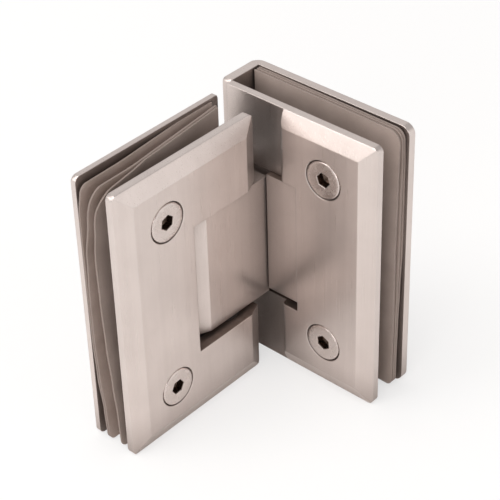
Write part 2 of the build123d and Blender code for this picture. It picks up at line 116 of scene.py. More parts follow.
def brushedNickel(name, look, grainAxis="Z"):
    # Satin nickel over brass: the brushed lines run up the plate
    # and pull each highlight into soft upright bands.
    mat, tree, place = newMaterial(name)
    stretch = [1 / (look["grain"] * mm)] * 3
    stretch["XYZ".index(grainAxis)] = 1 / (look["grainLength"] * mm)
    wide = [s * look["bandScale"] for s in stretch]
    lines = addNode(tree, "ShaderNodeMapping", {"Scale": stretch}, {"Vector": place})
    grain = addNode(tree, "ShaderNodeTexNoise", {"Scale": 1.0, "Detail": 3.0, "Roughness": 0.6},
                    {"Vector": lines.outputs[0]})
    bands = addNode(tree, "ShaderNodeMapping", {"Scale": wide}, {"Vector": place})
    band = addNode(tree, "ShaderNodeTexNoise", {"Scale": 1.0, "Detail": 2.0}, {"Vector": bands.outputs[0]})
    cloud = addNode(tree, "ShaderNodeTexNoise",
                    {"Scale": look["cloudScale"], "Detail": 4.0, "Roughness": 0.55}, {"Vector": place})
    mixed = addNode(tree, "ShaderNodeMath", {"operation": "MULTIPLY_ADD", 1: look["bandShare"]},
                    {0: band.outputs[0], 2: cloud.outputs[0]})
    dullest, brightest = look["toneRange"]
    spread = addNode(tree, "ShaderNodeMapRange", {"From Min": dullest, "From Max": brightest},
                     {"Value": mixed.outputs[0]})
    tone = addNode(tree, "ShaderNodeMix", {"data_type": "RGBA", colourA: linearColour(look["darkTone"]),
                                           colourB: linearColour(look["tone"])}, {0: spread.outputs[0]})

    # painted shade: a dull brown tone darkens and dulls the plate where ambient occlusion finds it sheltered,
    # but not on the faces that look down
    sheltered = addNode(tree, "ShaderNodeAmbientOcclusion",
                        {"samples": 8, "Distance": look["paintedShadeReach"] * mm})
    flat = addNode(tree, "ShaderNodeNewGeometry")
    facing = addNode(tree, "ShaderNodeSeparateXYZ", None, {0: flat.outputs["True Normal"]})
    bareBelow, fullAbove = look["paintedShadeFaces"]
    paintedShadeWhere = addNode(tree, "ShaderNodeMapRange",
                        {"From Min": bareBelow, "From Max": fullAbove, "To Min": 0.0, "To Max": look["paintedShade"]},
                        {"Value": facing.outputs["Z"]})
    starts, full = look["paintedShadeRange"]
    paintedShadeShare = addNode(tree, "ShaderNodeMapRange", {"From Min": starts, "From Max": full, "To Min": 0.0},
                        {"Value": sheltered.outputs["AO"], "To Max": paintedShadeWhere.outputs[0]})
    shadedColour = addNode(tree, "ShaderNodeMix", {"data_type": "RGBA", colourB: linearColour(look["paintedShadeTone"])},
                     {0: paintedShadeShare.outputs[0], colourA: tone.outputs[mixedColour]})

    # painted highlight: where a rounded normal leaves the flat one the plate is painted a little brighter
    soft = addNode(tree, "ShaderNodeBevel", {"samples": 6, "Radius": look["edge"] * mm})
    dot = addNode(tree, "ShaderNodeVectorMath", {"operation": "DOT_PRODUCT"},
                  {0: soft.outputs[0], 1: flat.outputs["True Normal"]})
    flatFrom, sharpest = look["edgeRange"]
    edgeHighlightMask = addNode(tree, "ShaderNodeMapRange", {"From Min": flatFrom, "From Max": sharpest},
                     {"Value": dot.outputs["Value"]})
    edgeHighlightShare = addNode(tree, "ShaderNodeMath", {"operation": "MULTIPLY", 1: look["highlightShare"]},
                       {0: edgeHighlightMask.outputs[0]})
    highlightedColour = addNode(tree, "ShaderNodeMix", {"data_type": "RGBA", colourB: linearColour(look["highlightTone"])},
                     {0: edgeHighlightShare.outputs[0], colourA: shadedColour.outputs[mixedColour]})

    lowest, highest = look["grainRange"]
    smoother, rougher = look["roughSpread"]
    rough = addNode(tree, "ShaderNodeMapRange",
                    {"From Min": lowest, "From Max": highest, "To Min": look["roughness"] + smoother,
                     "To Max": look["roughness"] + rougher}, {"Value": grain.outputs[0]})
    shadedRough = addNode(tree, "ShaderNodeMath", {"operation": "MULTIPLY_ADD", 1: look["paintedShadeDulls"]},
                        {0: paintedShadeShare.outputs[0], 2: rough.outputs[0]})
    shadedMetalness = addNode(tree, "ShaderNodeMapRange", {"To Min": 1.0, "To Max": look["paintedShadeMetal"]},
                   {"Value": paintedShadeShare.outputs[0]})
    bump = addNode(tree, "ShaderNodeBump",
                   {"Strength": look["scratchStrength"], "Distance": look["scratchDepth"] * mm},
                   {"Height": grain.outputs[0], "Normal": soft.outputs[0]})
    tangent = addNode(tree, "ShaderNodeTangent", {"direction_type": "RADIAL", "axis": "Z"})
    shader = addNode(tree, "ShaderNodeBsdfPrincipled", {"Anisotropic": look["anisotropy"]},
                     {"Base Color": highlightedColour.outputs[mixedColour], "Metallic": shadedMetalness.outputs[0],
                      "Roughness": shadedRough.outputs[0], "Normal": bump.outputs[0],
                      "Tangent": tangent.outputs[0]})
    addNode(tree, "ShaderNodeOutputMaterial", None, {"Surface": shader.outputs[0]})
    return mat


turnedLook = {
    "tone": "#DCD1CC",
    "darkTone": "#CABFBA",
    "socketShade": "#6A5B52",    # painted shade inside the key socket
    "cloudScale": 400.0,        # one spot in 2.5 mm
    "groove": 0.16,             # between turned lines, coarser than the real 0.08 so that they show
    "grooveShare": 0.4,         # how much the rings count beside the spots
    "grooveDepth": 0.02,
    "roughness": 0.24,
    "roughSpread": (-0.04, 0.08),
}


def turnedNickel(name, look):
    # Turned and plated screw head: fine rings about its axis give a thin round glint.
    mat, tree, place = newMaterial(name)
    away = addNode(tree, "ShaderNodeAttribute", {"attribute_name": "latheRadius"})
    ringCount = addNode(tree, "ShaderNodeMath", {"operation": "MULTIPLY", 1: 2 * math.pi / look["groove"]},
                        {0: away.outputs["Fac"]})
    ring = addNode(tree, "ShaderNodeMath", {"operation": "SINE"}, {0: ringCount.outputs[0]})
    cloud = addNode(tree, "ShaderNodeTexNoise", {"Scale": look["cloudScale"], "Detail": 3.0},
                    {"Vector": place})
    height = addNode(tree, "ShaderNodeMath", {"operation": "MULTIPLY_ADD", 1: look["grooveShare"]},
                     {0: ring.outputs[0], 2: cloud.outputs[0]})
    tone = addNode(tree, "ShaderNodeMix", {"data_type": "RGBA", colourA: linearColour(look["darkTone"]),
                                           colourB: linearColour(look["tone"])}, {0: cloud.outputs[0]})
    # painted shade: points inside the key socket take a dark tone
    inSocket = addNode(tree, "ShaderNodeAttribute", {"attribute_name": "inSocket"})
    finish = addNode(tree, "ShaderNodeMix", {"data_type": "RGBA", colourB: linearColour(look["socketShade"])},
                     {0: inSocket.outputs["Fac"], colourA: tone.outputs[mixedColour]})
    smoother, rougher = look["roughSpread"]
    rough = addNode(tree, "ShaderNodeMapRange",
                    {"From Min": 0.3, "From Max": 0.7, "To Min": look["roughness"] + smoother,
                     "To Max": look["roughness"] + rougher}, {"Value": cloud.outputs[0]})
    bump = addNode(tree, "ShaderNodeBump", {"Strength": 0.25, "Distance": look["grooveDepth"] * mm},
                   {"Height": height.outputs[0]})
    shader = addNode(tree, "ShaderNodeBsdfPrincipled", {"Metallic": 1.0},
                     {"Base Color": finish.outputs[mixedColour], "Roughness": rough.outputs[0],
                      "Normal": bump.outputs[0]})
    addNode(tree, "ShaderNodeOutputMaterial", None, {"Surface": shader.outputs[0]})
    return mat


steelLook = {
    "tone": "#C9C3BC",
    "darkTone": "#8C867F",      # grease left in spots
    "lathe": (150.0, 150.0, 2600.0),    # lines round the pin, 0.4 apart, coarser so that they show
    "latheDepth": 0.02,
    "cloudScale": 260.0,        # one spot in 4 mm
    "roughness": 0.3,
    "roughSpread": (-0.06, 0.1),
}
wireLook = dict(steelLook, tone="#B9B2AA", roughness=0.34)


def plainSteel(name, look):
    # Bright turned steel of the hidden working parts, with faint spots of grease.
    mat, tree, place = newMaterial(name)
    lathe = addNode(tree, "ShaderNodeMapping", {"Scale": look["lathe"]}, {"Vector": place})
    lines = addNode(tree, "ShaderNodeTexNoise", {"Scale": 1.0, "Detail": 3.0}, {"Vector": lathe.outputs[0]})
    cloud = addNode(tree, "ShaderNodeTexNoise", {"Scale": look["cloudScale"], "Detail": 3.0},
                    {"Vector": place})
    tone = addNode(tree, "ShaderNodeMix", {"data_type": "RGBA", colourA: linearColour(look["darkTone"]),
                                           colourB: linearColour(look["tone"])}, {0: cloud.outputs[0]})
    smoother, rougher = look["roughSpread"]
    rough = addNode(tree, "ShaderNodeMapRange",
                    {"From Min": 0.3, "From Max": 0.7, "To Min": look["roughness"] + smoother,
                     "To Max": look["roughness"] + rougher}, {"Value": cloud.outputs[0]})
    bump = addNode(tree, "ShaderNodeBump", {"Strength": 0.3, "Distance": look["latheDepth"] * mm},
                   {"Height": lines.outputs[0]})
    shader = addNode(tree, "ShaderNodeBsdfPrincipled", {"Metallic": 1.0},
                     {"Base Color": tone.outputs[mixedColour], "Roughness": rough.outputs[0],
                      "Normal": bump.outputs[0]})
    addNode(tree, "ShaderNodeOutputMaterial", None, {"Surface": shader.outputs[0]})
    return mat


linerLook = {
    "tone": "#B8A79F",
    "darkTone": "#9B8B82",
    "toneRange": (0.40, 0.95),  # noise at which it is darkest and lightest
    "cutEdgeShade": "#857770",       # the sheared edges are darker than the pressed faces, partly their own tone and partly painted shade
    "stainScale": 70.0,         # one stain in about 14 mm
    "fleck": 0.35,              # size of the pressed fibres, coarser than the real 0.1 so that they show
    "fleckShare": 0.35,         # how much the fibres count beside the stains
    "fleckDepth": 0.05,
    "roughness": 0.62,
}


def pressedSheet(name, look):
    # Pressed fibre and rubber sheet: matt, a little mottled, with a faint felt of short fibres.
    mat, tree, place = newMaterial(name)
    fibre = addNode(tree, "ShaderNodeTexNoise",
                    {"Scale": 1 / (look["fleck"] * mm), "Detail": 4.0, "Roughness": 0.7}, {"Vector": place})
    stain = addNode(tree, "ShaderNodeTexNoise", {"Scale": look["stainScale"], "Detail": 3.0},
                    {"Vector": place})
    both = addNode(tree, "ShaderNodeMath", {"operation": "MULTIPLY_ADD", 1: look["fleckShare"]},
                   {0: fibre.outputs[0], 2: stain.outputs[0]})
    darkest, lightest = look["toneRange"]
    spread = addNode(tree, "ShaderNodeMapRange", {"From Min": darkest, "From Max": lightest},
                     {"Value": both.outputs[0]})
    tone = addNode(tree, "ShaderNodeMix", {"data_type": "RGBA", colourA: linearColour(look["darkTone"]),
                                           colourB: linearColour(look["tone"])}, {0: spread.outputs[0]})
    # the sheared edges take the darker tone: partly the cut's own colour, partly painted shade
    sheared = addNode(tree, "ShaderNodeAttribute", {"attribute_name": "cutEdge"})
    finish = addNode(tree, "ShaderNodeMix", {"data_type": "RGBA", colourB: linearColour(look["cutEdgeShade"])},
                     {0: sheared.outputs["Fac"], colourA: tone.outputs[mixedColour]})
    bump = addNode(tree, "ShaderNodeBump", {"Strength": 0.4, "Distance": look["fleckDepth"] * mm},
                   {"Height": fibre.outputs[0]})
    shader = addNode(tree, "ShaderNodeBsdfPrincipled",
                     {"Roughness": look["roughness"], "Specular IOR Level": 0.5},
                     {"Base Color": finish.outputs[mixedColour], "Normal": bump.outputs[0]})
    addNode(tree, "ShaderNodeOutputMaterial", None, {"Surface": shader.outputs[0]})
    return mat


bushLook = {
    "tone": "#2B2623",
    "darkShare": 0.7,           # light left in the darkest spots
    "cloudScale": 500.0,        # one spot in 2 mm
    "mottleDepth": 0.03,
    "roughness": 0.45,
}
sleeveLook = dict(bushLook, tone="#8F857B", roughness=0.4)
blackenedLook = dict(bushLook, tone="#2A2420", roughness=0.4)      # the oxide skin hides the metal's shine


def mouldedPlastic(name, look):
    # Moulded nylon: slightly mottled, low sheen.
    mat, tree, place = newMaterial(name)
    cloud = addNode(tree, "ShaderNodeTexNoise", {"Scale": look["cloudScale"], "Detail": 3.0},
                    {"Vector": place})
    colour = linearColour(look["tone"])
    darker = (*[part * look["darkShare"] for part in colour[:3]], 1.0)
    tone = addNode(tree, "ShaderNodeMix", {"data_type": "RGBA", colourA: darker, colourB: colour},
                   {0: cloud.outputs[0]})
    bump = addNode(tree, "ShaderNodeBump", {"Strength": 0.2, "Distance": look["mottleDepth"] * mm},
                   {"Height": cloud.outputs[0]})
    shader = addNode(tree, "ShaderNodeBsdfPrincipled", {"Roughness": look["roughness"]},
                     {"Base Color": tone.outputs[mixedColour], "Normal": bump.outputs[0]})
    addNode(tree, "ShaderNodeOutputMaterial", None, {"Surface": shader.outputs[0]})
    return mat


satinNickel = brushedNickel("brushed satin nickel", nickelLook)
milledShadedNickel = brushedNickel("milled nickel, unbrushed, painted shade", milledShadedLook, grainAxis="X")
screwNickel = turnedNickel("turned nickel screw", turnedLook)
workingSteel = plainSteel("turned plain steel", steelLook)
blackSteel = mouldedPlastic("blackened steel", blackenedLook)
springSteel = plainSteel("drawn spring wire", wireLook)
linerSheet = pressedSheet("pressed fibre liner", linerLook)
bushNylon = mouldedPlastic("dark bearing nylon", bushLook)
sleeveNylon = mouldedPlastic("clear grey nylon sleeve", sleeveLook)

materialOfSlot = {
    "satin_nickel": satinNickel,
    "satin_screw": screwNickel,
    "plain_steel": workingSteel,
    "dark_steel": blackSteel,
    "bearing_plastic": bushNylon,
    "sleeve_plastic": sleeveNylon,
    "liner_sheet": linerSheet,
}
slotOf = {s["node"]: s["material_slot"] for s in frame["record"]["subparts"]}
bodyOf = {}
for bodyName, members in frame["record"]["behaviour"]["bodies"].items():
    for member in members:
        bodyOf[member] = bodyName
for nodeName, part in frame["nodes"].items():
    for holder in part.material_slots:
        holder.material = materialOfSlot[slotOf[nodeName]]
print("materials made")


# What the pieces share. Settings are in mm from here on, boxes and points in metres,
# and an axis is 0, 1 or 2 for x, y or z.

skinLimits = {
    "join": 0.002,              # points nearer than this are one point
    "sliver": 0.001,            # edges shorter than this are closed up
    "flat": 0.5,                # degrees between faces that are really one flat face
}
edgeFinish = {"segments": 2, "evenWeight": 100}
onPlane = 0.0005                # a point this near to a cutting plane counts as on it
endBand = 4                     # length at an end that closes up when the end is drawn in


def joinCollection(obj):
    scene.collection.objects.link(obj)
    return obj


def bakedPiece(obj, name, nodeNames, material):
    # turns an object and its modifiers into one plain mesh that stands for the parts it is made after
    graph = bpy.context.evaluated_depsgraph_get()
    mesh = bpy.data.meshes.new_from_object(obj.evaluated_get(graph))
    mesh.name = name
    bpy.data.objects.remove(obj)
    piece = joinCollection(bpy.data.objects.new(name, mesh))
    if material is not None:
        mesh.materials.clear()
        mesh.materials.append(material)
    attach(piece, bodyOf[nodeNames[0]])
    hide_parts(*nodeNames)
    return piece


def mergedCopy(nodeName):
    # the part's faces, joined into a closed skin with its flat areas whole again
    mesh = frame["nodes"][nodeName].data.copy()
    work = bmesh.new()
    work.from_mesh(mesh)
    bmesh.ops.remove_doubles(work, verts=work.verts, dist=skinLimits["join"] * mm)
    bmesh.ops.dissolve_degenerate(work, edges=work.edges, dist=skinLimits["sliver"] * mm)
    bmesh.ops.dissolve_limit(work, angle_limit=math.radians(skinLimits["flat"]), verts=work.verts,
                             edges=work.edges, use_dissolve_boundaries=False)
    work.to_mesh(mesh)
    work.free()
    mesh.name = nodeName + "Skin"
    return mesh


def softEdged(name, mesh, width, sharpFrom):
    # rounds the edges that turn more than sharpFrom degrees, and shades the flat areas flat
    obj = joinCollection(bpy.data.objects.new(name, mesh))
    mesh.shade_smooth()
    bevel = obj.modifiers.new("softEdges", "BEVEL")
    bevel.width = width * mm
    bevel.segments = edgeFinish["segments"]
    bevel.limit_method = "ANGLE"
    bevel.angle_limit = math.radians(sharpFrom)
    bevel.use_clamp_overlap = True
    even = obj.modifiers.new("evenShading", "WEIGHTED_NORMAL")
    even.mode = "FACE_AREA"
    even.weight = edgeFinish["evenWeight"]
    return obj


def shiftBand(verts, axis, start, old, new):
    # points between start and old close up or spread so that old comes to new
    justPast = 1.02             # a point a little past old moves too
    for vert in verts:
        place = (vert.co[axis] / mm - start) / (old - start)
        if 0 < place < justPast:
            vert.co[axis] = (start + place * (new - start)) * mm


def drawInEnd(verts, axis, end, by):
    shiftBand(verts, axis, end - endBand, end, end - by)


def recutCorners(verts, wide, end, inwardWay, low, high, blankRadius, radii):
    # the blank's large corner arcs at the free end shrink to the radii that the sheet has,
    # given for the top and the bottom
    pastArc, offArc = 0.01, 0.06        # how far a point may lie off the arc and still move
    for way, edge, radius in ((1, high, radii[0]), (-1, low, radii[1])):
        share = radius / blankRadius
        for vert in verts:
            out = (end - vert.co[wide]) / mm * inwardWay     # 0 at the free end, growing inwards
            down = (edge - vert.co.z) / mm * way             # 0 at the top or bottom edge
            away = math.hypot(blankRadius - out, blankRadius - down)
            if max(out, down) > blankRadius + pastArc or abs(away - blankRadius) > offArc:
                continue
            vert.co[wide] = end - out * share * mm * inwardWay
            vert.co.z = edge - down * share * mm * way


# Plates, block and base: the solids' own faces, with rounded edges and a closer fit.
# edge: how far each sharp edge is rounded
# fit: along which axis, where the move starts, where the face was, where it goes
# corners: radius of the blank, then at the free end and next to the corner
# nearEnd: how much sooner the plate stops next to the corner
# padLift: below which height the pad's underside lies, and how far it rises

plates = {
    "fixed_front_plate": {"edge": 0.22},
    "fixed_back_plate": {"edge": 0.20, "fit": (1, 38.5, 37.1, 37.5)},          # a thinner plate
    "door_front_plate": {"edge": 0.22, "fit": (1, -32.5, -40.0, -38.0)},       # narrower bevel at its end
    "door_back_plate": {"edge": 0.18, "fit": (0, -24.3, -23.1, -23.8),         # a thinner plate
                        "corners": (3.0, 2.0, 1.6), "nearEnd": 1.9},
    "pivot_block": {"edge": 0.25},
    "pivot_base": {"edge": 0.18, "padLift": (25.4, 0.7)},
}
sharpPlate = 14                 # degrees, edges that turn more than this are rounded
milledFaces = {
    "heights": (23.0, 67.0),    # the floor and ceiling of the notch: milled and rougher, and painted darker as shade
    "within": 0.4,
    "upright": 0.9,             # least upward or downward part of their normals
}


def dressedPart(nodeName, settings):
    mesh = mergedCopy(nodeName)
    low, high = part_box(nodeName)
    if "fit" in settings:
        shiftBand(mesh.vertices, *settings["fit"])
    if "corners" in settings:
        blank, atFree, atCorner = settings["corners"]
        recutCorners(mesh.vertices, 1, low.y, -1, low.z, high.z, blank, (atFree, atFree))
        recutCorners(mesh.vertices, 1, high.y, 1, low.z, high.z, blank, (atCorner, atCorner))
    if "nearEnd" in settings:
        drawInEnd(mesh.vertices, 1, high.y / mm, settings["nearEnd"])
    if "padLift" in settings:
        under, rise = settings["padLift"]
        for vert in mesh.vertices:
            if vert.co.z < under * mm:
                vert.co.z += rise * mm
    obj = softEdged(nodeName + "Work", mesh, settings["edge"], sharpPlate)
    piece = bakedPiece(obj, nodeName + "_dressed", [nodeName], satinNickel)
    piece.data.materials.append(milledShadedNickel)
    for face in piece.data.polygons:
        off = min(abs(face.center.z / mm - height) for height in milledFaces["heights"])
        if off < milledFaces["within"] and abs(face.normal.z) > milledFaces["upright"]:
            face.material_index = 1
    return piece


for nodeName, settings in plates.items():
    dressedPart(nodeName, settings)
print("plates, block and base dressed")


# Liners: soft sheets, a little bowed, hanging loose on the sleeves.

linerShape = {                  # the same for all six sheets
    "thick": 0.55,
    "edge": 0.12,               # how far the sheared edges are rounded
    "sharpFrom": 50,            # degrees, edges that turn more than this are rounded
    "closest": 0.06,            # points nearer than this are joined, so that the edges can be rounded
    "step": 3.0,                # between bend lines
    "lastStep": 0.5,            # no bend line is nearer to the far edge than this
    "cutRadius": 8.5,           # corner radius of the stamped blank
    "levels": (0, 11, 22, 36, 50, 65, 78, 88),      # heights at which the gaps are given
    "follow": 0.65,             # the door's front sheet lies this far off the middle one
    "turnsAbove": 60.0,         # height above which a sheet has turned on its sleeves
    # axis, where the move starts, where the solid's edge is, where it goes
    "doorFits": [(1, -30.0, -38.4, -37.5)],
    "fixedFits": [(2, 60.0, 88.7, 89.6), (0, -20.0, -24.2, -25.4)],
}

# corners: radius at the top and the bottom of the free end
# gaps: how far the free end stands off the back plate at each level
# near: the same at the corner, or follows: the sheet that it lies on there
# leaves: where the sheet starts to stand off, and where it is as far off as at the free end
# nearEnd: how much sooner the sheet stops at the corner, turn: how far it has risen there
liners = {
    "fixed_liner_rear": {
        "corners": (3.0, 1.8), "near": 0.12, "leaves": (-20, 26),
        "gaps": (1.6, 1.5, 1.3, 0.8, 0.1, 0.1, 0.2, 0.7),
    },
    "fixed_liner_middle": {
        "corners": (3.3, 1.8), "near": 0.95, "leaves": (-20, 26),
        "gaps": (2.4, 2.3, 2.1, 1.7, 1.35, 1.3, 1.2, 1.5),
    },
    "fixed_liner_front": {
        "corners": (3.6, 1.8), "near": 2.0, "leaves": (-20, 26),
        "gaps": (3.4, 3.4, 3.2, 3.3, 3.4, 3.1, 2.9, 2.6),
    },
    "door_liner_rear": {
        "corners": (2.6, 2.0), "near": 0.05, "leaves": (0, -22), "nearEnd": 1.2, "turn": 1.0,
        "gaps": (2.9, 2.3, 0.9, 0.2, 0.05, 0.05, 0.05, 1.4),
    },
    "door_liner_middle": {
        "corners": (4.5, 2.0), "near": 1.9, "leaves": (15.8, -22), "nearEnd": 1.5, "turn": 0.8,
        "gaps": (3.7, 3.05, 1.7, 0.95, 0.85, 1.4, 3.2, 5.3),
    },
    "door_liner_front": {
        "corners": (5.5, 2.2), "follows": "door_liner_middle", "leaves": (-18, -34),
        "nearEnd": 1.5, "turn": 0.5,
        "gaps": (8.4, 7.9, 6.9, 5.7, 5.05, 4.75, 5.8, 8.4),
    },
}


def eased(value):
    value = min(max(value, 0.0), 1.0)
    return value * value * (3 - 2 * value)


def freeEndGap(levels, gaps, height):
    # smooth line through the gaps given at each level
    for k in range(len(levels) - 1):
        if height <= levels[k + 1] or k == len(levels) - 2:
            share = eased((height - levels[k]) / (levels[k + 1] - levels[k]))
            return gaps[k] + (gaps[k + 1] - gaps[k]) * share


def linerGap(sheet, along, height):
    start, end = sheet["leaves"]
    far = freeEndGap(linerShape["levels"], sheet["gaps"], height)
    if "follows" in sheet:
        near = linerGap(liners[sheet["follows"]], along, height) + linerShape["follow"]
    else:
        near = sheet["near"]
    return near + (far - near) * min(max((along - start) / (end - start), 0.0), 1.0)


def cutBendLines(work, axis, low, high):
    # edges across the sheet, so that it can bend there
    place = low + linerShape["step"] * mm
    while place < high - linerShape["lastStep"] * mm:
        normal = Vector((0, 0, 0))
        normal[axis] = 1
        parts = work.verts[:] + work.edges[:] + work.faces[:]
        bmesh.ops.bisect_plane(work, geom=parts, plane_co=normal * place, plane_no=normal, dist=onPlane * mm)
        place += linerShape["step"] * mm


def hungLiner(nodeName, sheet):
    low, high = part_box(nodeName)
    mesh = mergedCopy(nodeName)
    work = bmesh.new()
    work.from_mesh(mesh)
    onDoor = bodyOf[nodeName] == "door_wing"
    thin, wide = (0, 1) if onDoor else (1, 0)              # the sheet's thin direction and its width
    forward = 1 if onDoor else -1                          # from the back plate to the front plate
    inFront = {}
    for vert in work.verts:
        inFront[vert] = max(face.normal[thin] * forward for face in vert.link_faces) > 0.9

    freeEnd, inwardWay = (low.y, -1) if onDoor else (high.x, 1)
    recutCorners(work.verts, wide, freeEnd, inwardWay, low.z, high.z, linerShape["cutRadius"],
                 sheet["corners"])
    for fit in linerShape["doorFits" if onDoor else "fixedFits"]:
        shiftBand(work.verts, *fit)
    if onDoor:
        drawInEnd(work.verts, wide, high.y / mm, sheet["nearEnd"])
        tall = high.z / mm - linerShape["turnsAbove"]
        for vert in work.verts:                            # each sheet has turned a little on its sleeves
            upper = max(vert.co.z / mm - linerShape["turnsAbove"], 0) / tall
            inward = (vert.co.y - low.y) / (high.y - low.y)
            vert.co.z += sheet["turn"] * upper * inward * mm
    wall = plates["door_back_plate" if onDoor else "fixed_back_plate"]["fit"][3]   # its inner face

    for vert in work.verts:
        vert.co[thin] = forward if inFront[vert] else 0.0  # 0 behind and 1 in front until the bends are cut
    for axis in (wide, 2):
        cutBendLines(work, axis, low[axis], high[axis])
    for vert in work.verts:
        gap = linerGap(sheet, vert.co[wide] / mm, vert.co.z / mm)
        depth = linerShape["thick"] * abs(vert.co[thin])
        vert.co[thin] = (wall + forward * (gap + depth)) * mm
    bmesh.ops.remove_doubles(work, verts=work.verts, dist=linerShape["closest"] * mm)
    bmesh.ops.dissolve_degenerate(work, edges=work.edges, dist=skinLimits["sliver"] * mm)

    cut = work.faces.layers.float.new("cutEdge")
    work.normal_update()
    for face in work.faces:
        face[cut] = 0.0 if abs(face.normal[thin]) > 0.7 else 1.0
    work.to_mesh(mesh)
    work.free()
    obj = softEdged(nodeName + "Work", mesh, linerShape["edge"], linerShape["sharpFrom"])
    return bakedPiece(obj, nodeName + "_bowed", [nodeName], linerSheet)


for nodeName, sheet in liners.items():
    hungLiner(nodeName, sheet)
print("liners hung")


# Node trees that set copies on places: what clamp screws and springs share.

def placingTree(name, wanted, result):
    # an empty tree that takes places and the wanted inputs, with the identifier of each input
    tree = bpy.data.node_groups.new(name, "GeometryNodeTree")
    tree.interface.new_socket("Places", in_out="INPUT", socket_type="NodeSocketGeometry")
    ids = {}
    for label, kind in wanted.items():
        ids[label] = tree.interface.new_socket(label, in_out="INPUT", socket_type=kind).identifier
    tree.interface.new_socket(result, in_out="OUTPUT", socket_type="NodeSocketGeometry")
    return tree, ids, addNode(tree, "NodeGroupInput")


def placedBy(tree, ids, name, places, values):
    # points at the places, with the tree as their modifier and its inputs set
    spots = bpy.data.meshes.new(name + "Places")
    spots.from_pydata(places, [], [])
    holder = joinCollection(bpy.data.objects.new(name + "Holder", spots))
    maker = holder.modifiers.new(tree.name, "NODES")
    maker.node_group = tree
    for label, value in values.items():
        maker[ids[label]] = value
    return holder


# Clamp screws: one turned screw, set on its places by a node tree.

clampScrew = {
    "headRadius": 5.85,
    "rim": 0.35,                # rounding of the head's rim
    "rimSteps": 3,
    "faceEdge": 1.2,            # width of the ring between the flat face and the head's side
    "land": 0.5,                # straight side under the rim
    "lift": 0.05,               # brings the head level with the plate
    "shankRadius": 3.0,
    "plainNeck": 0.4,           # under the head, without grooves
    "halfPitch": 0.5,           # M6 has a groove in each millimetre
    "grooveDepth": 0.32,
    "plainEnd": 1.0,            # at the tip, without grooves
    "tipTaper": 0.6,
    "keyFlat": 4.0,             # hexagon key across its flats
    "keyDepth": 2.3,
    "keyCone": 0.7,             # how much deeper the drilled middle is
    "keyFloor": (0.15, 0.96),   # widths of the cone's tip and of the floor, beside the key's
    "keyFillet": 0.15,          # between floor and wall
    "keyMouth": 0.2,            # where the wall starts to widen
    "mouthWidth": 1.10,         # beside the key's
    "mouthDepth": 0.02,
    "mouthRound": 0.72,         # radius at which the face is round again, as a share of the key's width
    "segments": 96,
    "sharpFrom": 32,            # degrees
    "keyTurn": 0.5,             # radians, how far the keys differ
    "seed": 4,
}


def hexagonRadius(angle, flat):
    turn = (angle + math.pi / 6) % (math.pi / 3) - math.pi / 6
    return flat / 2 / math.cos(turn)


def screwRings(settings, length):
    # kind, size and height of each ring, from the middle of the socket out over the head and down
    # the shank; the head faces +Z at z = 0, and a hexagon's size is a share of the key's
    head, rim, land = settings["headRadius"], settings["rim"], settings["land"]
    flat, deep, shank = settings["keyFlat"], settings["keyDepth"], settings["shankRadius"]
    coneTip, floor = settings["keyFloor"]
    rings = [
        ("hex", coneTip, -deep - settings["keyCone"]),
        ("hex", floor, -deep),
        ("hex", 1.0, -deep + settings["keyFillet"]),
        ("hex", 1.0, -settings["keyMouth"]),
        ("hex", settings["mouthWidth"], -settings["mouthDepth"]),
        ("round", flat * settings["mouthRound"], 0.0),
        ("round", head - settings["faceEdge"], 0.0),
    ]
    for k in range(settings["rimSteps"] + 1):
        angle = k / settings["rimSteps"] * math.pi / 2
        rings.append(("round", head - rim + rim * math.sin(angle), -rim + rim * math.cos(angle)))
    rings.append(("round", head, -land))
    rings.append(("round", shank, -land - (head - shank)))         # the head's cone is at 45 degrees
    step = settings["halfPitch"]
    for k in range(int((length - land - head + shank - settings["plainEnd"]) / step)):
        drop = -land - (head - shank) - settings["plainNeck"] - step * k
        rings.append(("round", shank - (settings["grooveDepth"] if k % 2 else 0.0), drop))
    rings.append(("round", shank - settings["tipTaper"], -length))
    return rings


def screwMesh(name, settings, length):
    rings = screwRings(settings, length)
    verts, faces, radii, socket = [], [], [], []
    total = settings["segments"]
    for kind, size, z in rings:
        for s in range(total):
            angle = 2 * math.pi * s / total
            radius = size if kind == "round" else hexagonRadius(angle, settings["keyFlat"]) * size
            verts.append((radius * mm * math.cos(angle), radius * mm * math.sin(angle), z * mm))
            radii.append(radius)
            socket.append(1.0 if kind == "hex" and size <= 1.0 else 0.0)
    for r in range(len(rings) - 1):
        for s in range(total):
            a, b = r * total + s, r * total + (s + 1) % total
            faces.append((a, a + total, b + total, b))
    first = len(verts)                                  # the middles of the first and last ring
    verts += [(0, 0, rings[0][2] * mm), (0, 0, -length * mm)]
    radii += [0.0, 0.0]
    socket += [1.0, 0.0]
    last = (len(rings) - 1) * total
    for s in range(total):
        n = (s + 1) % total
        faces.append((first, s, n))
        faces.append((first + 1, last + n, last + s))
    mesh = bpy.data.meshes.new(name)
    mesh.from_pydata(verts, [], faces)
    for label, values in (("latheRadius", radii), ("inSocket", socket)):
        mesh.attributes.new(label, "FLOAT", "POINT").data.foreach_set("value", values)
    mesh.shade_smooth()
    mesh.set_sharp_from_angle(angle=math.radians(settings["sharpFrom"]))
    mesh.validate()
    return mesh


